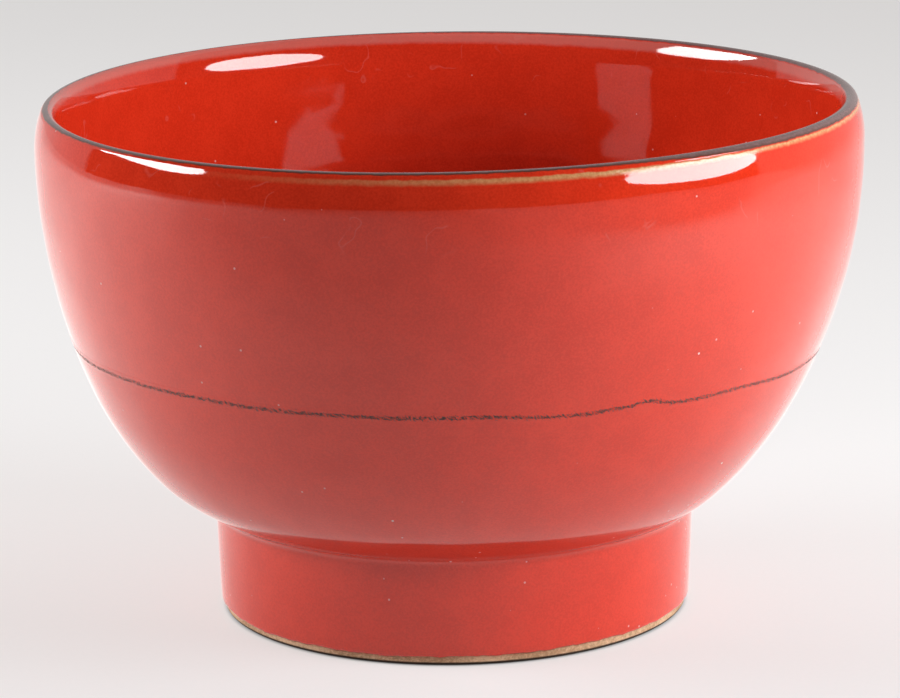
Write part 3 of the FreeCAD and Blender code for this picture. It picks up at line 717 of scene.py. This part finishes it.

# %% [markdown]
# Over the lip the glaze runs thin and breaks: grey-brown on top, a pink blush towards the inside, and
# an ochre line on the outer edge. The ochre is strongest on the side that faces the right softbox, which
# is partly the glaze's own break and partly painted light. A colour ramp over height would do on a true
# rim, but this rim rises and falls, so the bands read the distance over the lip that the pen wrote into
# every vertex. The bands shift a little from left to right.

# %% the break over the lip
GREY_FADE = (0.75 * MM, 1.10 * MM)
OCHRE_RISE = (1.60 * MM, 1.95 * MM)
OCHRE_FADE = (2.15 * MM, 3.05 * MM)
# Roughly the direction of the right softbox: the ochre grows stronger towards it, partly as painted light.
TOWARDS_OCHRE_AND_LAMP = (0.866, -0.5, 0.0)
DARK_OCHRE, PALE_OCHRE = (0.47, 0.23, 0.09, 1), (0.60, 0.33, 0.145, 1)
DARK_GREY, PALE_GREY = (0.13, 0.066, 0.063, 1), (0.17, 0.09, 0.088, 1)
BURNT, BLUSH = (0.075, 0.028, 0.018, 1), (0.60, 0.22, 0.19, 1)


def make_break_group():
    tree, given, result = effect("lip break", [("Color", COLOUR, (0.6, 0.03, 0.01, 1))],
                                 [("Color", COLOUR), ("Mask", NUMBER), ("Height", NUMBER)])
    place, right, _, _ = object_place(tree)
    distance = add(tree, "ShaderNodeAttribute", attribute_name=DISTANCE).outputs["Fac"]
    beads = noise(tree, place, 1700.0)
    fray = calculate(tree, "SUBTRACT", noise(tree, place, 600.0, 3.0), 0.5)
    ragged = total(tree, distance, product(tree, fray, 0.5 * MM))
    to_right = between(tree, right, -0.8 * bowl_radius, 0.8 * bowl_radius)
    far_right = between(tree, right, 0.25 * bowl_radius, 0.75 * bowl_radius)
    inner_edge = calculate(tree, "SUBTRACT", -0.2 * MM, product(tree, to_right, 0.85 * MM))
    from_inner = calculate(tree, "SUBTRACT", ragged, inner_edge)
    from_outer = calculate(tree, "SUBTRACT", ragged, product(tree, far_right, 0.65 * MM))

    grey = product(tree, between(tree, from_inner, -0.2 * MM, 0.15 * MM),
                   between(tree, from_outer, *GREY_FADE, 1, 0))
    # Painted light in part: the ochre is made stronger on the side of the rim that faces the right softbox.
    ochre_and_lamp_side = add(tree, "ShaderNodeVectorMath", {0: place, 1: TOWARDS_OCHRE_AND_LAMP}, operation="DOT_PRODUCT")
    narrowed = total(tree, ragged, product(tree, far_right, 0.3 * MM))
    ochre = product(tree, between(tree, ragged, *OCHRE_RISE), between(tree, narrowed, *OCHRE_FADE, 1, 0))
    strength = between(tree, ochre_and_lamp_side.outputs["Value"], -0.2 * bowl_radius, 0.9 * bowl_radius)
    ochre = product(tree, ochre, strength)
    blush = product(tree, between(tree, from_inner, -2.6 * MM, -1.6 * MM),
                    between(tree, from_inner, -0.4 * MM, 0.0, 0.5, 0))

    tan = blend(tree, between(tree, beads, 0.30, 0.70), DARK_OCHRE, PALE_OCHRE)
    dull = blend(tree, between(tree, beads, 0.30, 0.70), DARK_GREY, PALE_GREY)
    dull = blend(tree, between(tree, from_outer, 0.25 * MM, 0.90 * MM), dull, BURNT)
    colour = blend(tree, blush, given.outputs["Color"], BLUSH)
    colour = blend(tree, grey, colour, dull)
    colour = blend(tree, ochre, colour, tan)
    tree.links.new(colour, result.inputs["Color"])
    tree.links.new(calculate(tree, "MAXIMUM", grey, ochre), result.inputs["Mask"])
    tree.links.new(product(tree, beads, ochre), result.inputs["Height"])
    return tree


break_group = make_break_group()
print("lip break:", len(break_group.nodes), "nodes")

# %% [markdown]
# The glaze's own shader is a smooth dielectric: the colour lies under a clear, hard gloss, so no
# second coat is needed. The height goes through a Bump node, which tilts reflections without adding
# faces. Broken glaze is a little rougher than whole glaze. The recess has no lip, so it has no break.

# %% the glaze on the coats
GLAZE_RELIEF = 0.25 * MM


def material(name):
    """A new material, its node tree and its shader."""
    made = bpy.data.materials.new(name)
    made.use_nodes = True
    return made, made.node_tree, made.node_tree.nodes["Principled BSDF"]


def bump(tree, shader, height, distance):
    node = add(tree, "ShaderNodeBump", {"Height": height, "Distance": distance, "Strength": 1.0})
    tree.links.new(node.outputs["Normal"], shader.inputs["Normal"])


def glaze(name, broken=True):
    made, tree, shader = material(name)
    red = add(tree, "ShaderNodeGroup", node_tree=red_group)
    colour, height, roughness = red.outputs["Color"], red.outputs["Height"], red.outputs["Roughness"]
    if broken:
        thin = add(tree, "ShaderNodeGroup", {"Color": colour}, node_tree=break_group)
        colour = thin.outputs["Color"]
        height = total(tree, height, product(tree, thin.outputs["Height"], 0.2))
        roughness = total(tree, roughness, product(tree, thin.outputs["Mask"], 0.18))
    tree.links.new(colour, shader.inputs["Base Color"])
    tree.links.new(roughness, shader.inputs["Roughness"])
    shader.inputs["IOR"].default_value = 1.5
    bump(tree, shader, height, GLAZE_RELIEF)
    return made


thrown_glaze = glaze("red_glaze_on_the_wall")
for piece in (glaze_outside, glaze_lip, glaze_inside):
    piece.data.materials.append(thrown_glaze)
glaze_recess.data.materials.append(glaze("red_glaze_in_the_recess", False))
print("glazed:", [piece.name for piece in (glaze_outside, glaze_lip, glaze_inside, glaze_recess)])

# %% [markdown]
# Bare stoneware shows only at the foot: buff, matt and slightly gritty. It could be one flat colour at
# this size, but a fine noise in colour and bump makes it clay. The edge that stands on the table is
# painted near black as painted contact shade. The slip in the joint is the same clay, a shade darker.

# %% the bare clay and the slip
# Painted shade: a near-black colour for the lowest edge of the foot, standing in for its contact shadow.
CONTACT_SHADE = (0.030, 0.018, 0.012, 1)
CONTACT_SHADE_FADE = (0.50 * MM, 0.80 * MM)
CLAY_RELIEF = 0.08 * MM


def clay(name, dark, light):
    made, tree, shader = material(name)
    place, _, _, up = object_place(tree)
    grit = noise(tree, place, 1800.0, 4.0, 0.7)
    mottle = total(tree, product(tree, grit, 0.6), product(tree, noise(tree, place, 90.0), 0.4))
    colour = blend(tree, between(tree, mottle, 0.38, 0.62), dark, light)
    # Painted shade: the clay turns near black below 0.5 to 0.8 mm, as the contact shadow at the table.
    colour = blend(tree, between(tree, up, *CONTACT_SHADE_FADE, 1, 0), colour, CONTACT_SHADE)
    tree.links.new(colour, shader.inputs["Base Color"])
    shader.inputs["Roughness"].default_value = 0.75
    shader.inputs["Specular IOR Level"].default_value = 0.2
    bump(tree, shader, grit, CLAY_RELIEF)
    return made


bare_clay = clay("buff_clay", (0.42, 0.25, 0.14, 1), (0.72, 0.50, 0.32, 1))
clay_foot.data.materials.append(bare_clay)
thrown_wall.data.materials.append(bare_clay)
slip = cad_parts["slip_joint"]
slip.data.materials.clear()
slip.data.materials.append(clay("joining_slip", (0.36, 0.21, 0.12, 1), (0.60, 0.40, 0.25, 1)))
print("clay:", clay_foot.name, thrown_wall.name, "and slip:", slip.name)

# %% [markdown]
# An oxide pencil leaves grains of dark brown with glaze between them, densest in the middle of the
# stroke. The band is glazed like its neighbours, so that its edges vanish, and the oxide is a mask:
# noise stretched along a slant, like the strokes of a hand, cut off harder towards the edges. Dry
# oxide takes the gloss away where it lies.

# %% the oxide of the line
CORE, EDGE = 0.10 * MM, 0.75 * MM
PALE_OXIDE, DARK_OXIDE = (0.10, 0.020, 0.012, 1), (0.035, 0.008, 0.006, 1)


def make_line_material():
    made, tree, shader = material("oxide_pencil")
    red = add(tree, "ShaderNodeGroup", node_tree=red_group)
    _, right, back, _ = object_place(tree)
    across = add(tree, "ShaderNodeAttribute", attribute_name=DISTANCE).outputs["Fac"]
    along = product(tree, calculate(tree, "ARCTAN2", right, back), bowl_radius)
    slant = add(tree, "ShaderNodeCombineXYZ", {
        "X": product(tree, total(tree, along, across), 0.7),
        "Y": product(tree, calculate(tree, "SUBTRACT", across, along), 1.5)})
    grain = noise(tree, slant.outputs[0], 1500.0, 3.0, 0.6)
    cover = between(tree, calculate(tree, "ABSOLUTE", across), CORE, EDGE, 0.60, -0.20)
    contrast = product(tree, calculate(tree, "SUBTRACT", grain, 0.5), 4.0)
    mask = between(tree, total(tree, cover, contrast), 0.35, 0.60)
    oxide = blend(tree, between(tree, grain, 0.4, 0.7), PALE_OXIDE, DARK_OXIDE)
    tree.links.new(blend(tree, mask, red.outputs["Color"], oxide), shader.inputs["Base Color"])
    dry = total(tree, red.outputs["Roughness"], product(tree, mask, 0.6))
    tree.links.new(dry, shader.inputs["Roughness"])
    bump(tree, shader, red.outputs["Height"], GLAZE_RELIEF)
    return made


oxide_line.data.materials.append(make_line_material())
print("line:", oxide_line.data.materials[0].name)

# %% [markdown]
# The bowl stands on a wide sheet of pale paper, which a glossy glaze shows almost as much as its own
# colour. So the paper is lit in two ways: lamps give it the bowl's shadow, and a light of its own, seen
# only by the camera and by mirror rays, sets how pale it looks from each side. That light falls on
# nothing, and it stops at the foot, so that the paper under the bowl stays dark.

# %% the floor
FLOOR_RADIUS = 2.4
PALE = (1.0, 0.96, 0.935, 1)
PALE_FOR_BOUNCES = (0.67, 0.64, 0.63, 1)
FLOOR_GLOW = 0.60


def glow_for_camera(tree, right, back):
    """Less far behind the bowl, in front of it, and in the right front corner."""
    share = product(tree, between(tree, back, 0.20, 0.75, 1.0, 0.86),
                    between(tree, back, -0.08, 0.10, 0.90, 1.0))
    corner = calculate(tree, "SUBTRACT", right, back)
    return product(tree, share, between(tree, corner, 0.02, 0.22, 1.0, 0.87))


def glow_for_mirrors(tree, right, back, reach):
    """Bright beside the bowl, above all to the left, and dim in front of it and close to it."""
    share = product(tree, between(tree, back, -0.24, 0.03, 0.28, 1.4),
                    between(tree, right, -0.2, 0.2, 1.25, 0.85))
    share = product(tree, share, between(tree, back, 0.10, 0.32, 1.0, 0.6))
    share = calculate(tree, "MAXIMUM", share, between(tree, right, 0.0, 0.25, 0.28, 0.75))
    return product(tree, share, between(tree, reach, 0.05, 0.17, 0.6, 1.0))


def make_paper():
    made, tree, shader = material("pale_paper")
    place, right, back, _ = object_place(tree)
    fleck = noise(tree, place, 900.0, 3.0)
    paper = blend(tree, fleck, (0.29, 0.305, 0.32, 1), (0.31, 0.325, 0.34, 1))
    path = add(tree, "ShaderNodeLightPath")
    colour = blend(tree, path.outputs["Is Camera Ray"], PALE_FOR_BOUNCES, paper)
    tree.links.new(colour, shader.inputs["Base Color"])
    shader.inputs["Roughness"].default_value = 0.9
    reach = add(tree, "ShaderNodeVectorMath", {0: place}, operation="LENGTH").outputs["Value"]
    for_camera = product(tree, path.outputs["Is Camera Ray"], glow_for_camera(tree, right, back))
    for_mirrors = product(tree, path.outputs["Is Glossy Ray"], glow_for_mirrors(tree, right, back, reach))
    seen = calculate(tree, "MAXIMUM", for_camera, for_mirrors)
    seen = product(tree, seen, between(tree, reach, 41.5 * MM, 43.4 * MM))
    glow = add(tree, "ShaderNodeEmission", {"Color": PALE, "Strength": product(tree, seen, FLOOR_GLOW)})
    both = add(tree, "ShaderNodeAddShader")
    tree.links.new(shader.outputs[0], both.inputs[0])
    tree.links.new(glow.outputs[0], both.inputs[1])
    tree.links.new(both.outputs[0], tree.nodes["Material Output"].inputs["Surface"])
    return made


def make_floor():
    mesh = bmesh.new()
    bmesh.ops.create_circle(mesh, cap_ends=True, radius=FLOOR_RADIUS, segments=128)
    data = bpy.data.meshes.new("floor")
    mesh.to_mesh(data)
    mesh.free()
    data.materials.append(make_paper())
    piece = bpy.data.objects.new("floor", data)
    bpy.context.scene.collection.objects.link(piece)
    return piece


floor = make_floor()
print(f"floor {2 * FLOOR_RADIUS:.1f} m across")

# %% [markdown]
# Glaze mirrors the whole room, so the room is part of the finish. Behind the bowl it is pale and in
# front dark: the sharp edge between the two is what draws the dark band under the rim. A photograph of
# a room would do it too, but two tones in the world's node tree are enough, and need no picture.

# %% the room
DARK_ROOM, PALE_ROOM = (0.03, 0.028, 0.027, 1), (0.62, 0.60, 0.59, 1)


def make_room():
    world = bpy.data.worlds.new("dim_studio")
    bpy.context.scene.world = world
    world.use_nodes = True
    tree = world.node_tree
    direction = add(tree, "ShaderNodeTexCoord").outputs["Generated"]
    axes = add(tree, "ShaderNodeSeparateXYZ", {"Vector": direction})
    edge = between(tree, axes.outputs["X"], -0.3, 0.3, 0.45, 0.03)
    behind = between(tree, calculate(tree, "SUBTRACT", axes.outputs["Y"], edge), -0.015, 0.015)
    pale = product(tree, behind, between(tree, axes.outputs["Z"], 0.85, 0.95, 1, 0))
    tree.links.new(blend(tree, pale, DARK_ROOM, PALE_ROOM), tree.nodes["Background"].inputs["Color"])


make_room()
print("world:", bpy.context.scene.world.name)

# %% [markdown]
# Two softboxes light the bowl from the sides, the right one near and low, the left one far and large.
# Their places follow from their reflections: each shows once inside the rim and once outside, and one
# panel has to explain both. A third, high panel only fills the shadows, and no mirror ray sees it.
# A lamp is given its power for its whole area, so the power is worked out from the radiance.

# %% the softboxes
look_at = Vector((0, 0, 0.07))


def softbox(name, first, second, low, high, radiance, shape="ELLIPSE"):
    """A panel between two places on the floor plan and two heights, facing the bowl."""
    first, second = Vector(first), Vector(second)
    middle = (first + second) / 2
    centre = Vector((middle.x, middle.y, (low + high) / 2))
    lamp = bpy.data.lights.new(name, "AREA")
    lamp.shape = shape
    lamp.size = (second - first).length
    lamp.size_y = high - low
    lamp.energy = radiance * math.pi * lamp.size * lamp.size_y
    piece = bpy.data.objects.new(name, lamp)
    bpy.context.scene.collection.objects.link(piece)
    across = (second - first).normalized().to_3d()
    facing = look_at - centre
    normal = (facing - facing.dot(across) * across).normalized()
    basis = Matrix((across, across.cross(normal), -normal)).transposed()
    piece.matrix_world = Matrix.Translation(centre) @ basis.to_4x4()
    piece.visible_camera = False
    print(f"{name}: {lamp.size:.2f} by {lamp.size_y:.2f} m, {lamp.energy:.1f} W")
    return piece


softbox("right_softbox", (0.244, -0.260), (0.444, -0.033), 0.113, 0.235, 12.8)
softbox("left_softbox", (-0.965, -0.34), (-0.950, 0.42), 0.33, 0.57, 16.3)
high = softbox("high_fill", (0.60, -0.55), (0.90, 0.05), 0.75, 1.05, 5, "RECTANGLE")
high.visible_glossy = False

# %% [markdown]
# The camera stands 0.75 m in front of the bowl and 0.23 m above the table, looks down 13 degrees and is
# rolled by less than one. Its long lens frames little more than the bowl.

# %% the camera
CAMERA_PLACE = (-0.0004, -0.7530, 0.2273)
PITCH, ROLL = math.radians(13.445), math.radians(0.76)
lens = bpy.data.cameras.new("camera")
lens.lens = 168.7
lens.sensor_width = 36
lens.clip_start = 0.01
camera = bpy.data.objects.new("camera", lens)
bpy.context.scene.collection.objects.link(camera)
camera.matrix_world = (Matrix.Translation(CAMERA_PLACE)
                       @ Matrix.Rotation(math.pi / 2 - PITCH, 4, "X") @ Matrix.Rotation(-ROLL, 4, "Z"))
bpy.context.scene.camera = camera
bpy.context.scene.view_settings.view_transform = "Standard"
print(f"lens {lens.lens} mm, {camera.matrix_world.translation.length:.2f} m from the foot")
